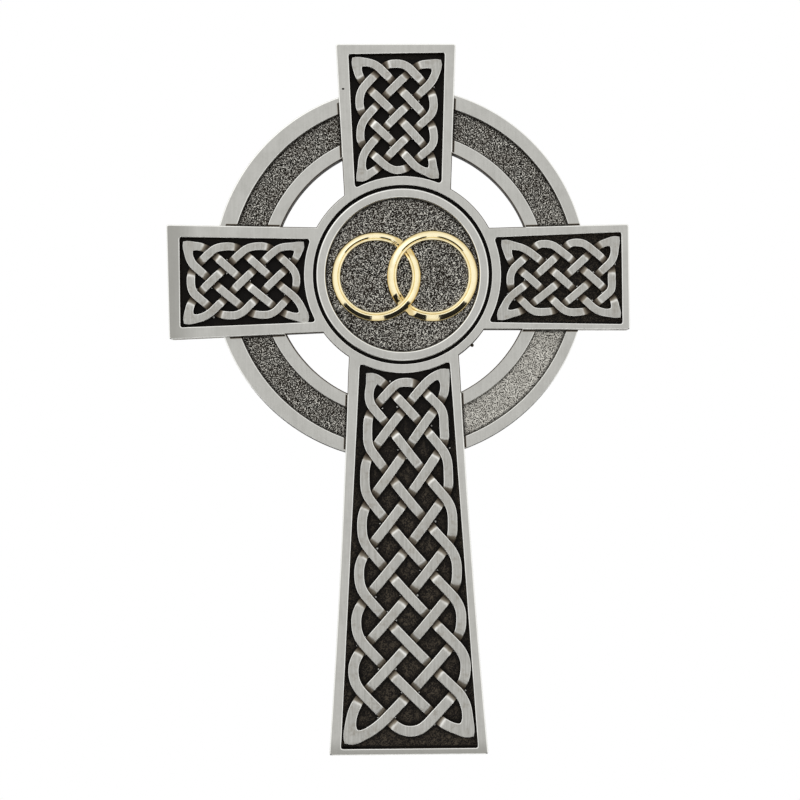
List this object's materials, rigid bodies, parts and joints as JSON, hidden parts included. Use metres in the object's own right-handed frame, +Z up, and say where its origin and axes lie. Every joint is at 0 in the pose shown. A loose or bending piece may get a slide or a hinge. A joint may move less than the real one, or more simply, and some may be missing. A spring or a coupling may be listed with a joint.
{
  "type": "celtic wall cross",
  "caption": "Cast pewter Celtic wall cross with knotwork panels on its arms, a ring around the crossing and interlaced gilt wedding rings on the hub.",
  "frame": {"origin": "centre of the mouth of the nail hole in the back of the top arm, in the plane of the flat back", "axes": "+Z up along the shaft, +Y towards the wall behind, so the carved front faces -Y, and +X to the right of someone facing the front"},
  "size_m": [0.1158, 0.0062, 0.1781],
  "materials": {
    "pewter": "polished high points, dark antiqued recesses",
    "gilt": "polished"
  },
  "bodies": {
    "root": {"cross": "pewter", "wedding_rings": "gilt"}
  },
  "joints": []
}
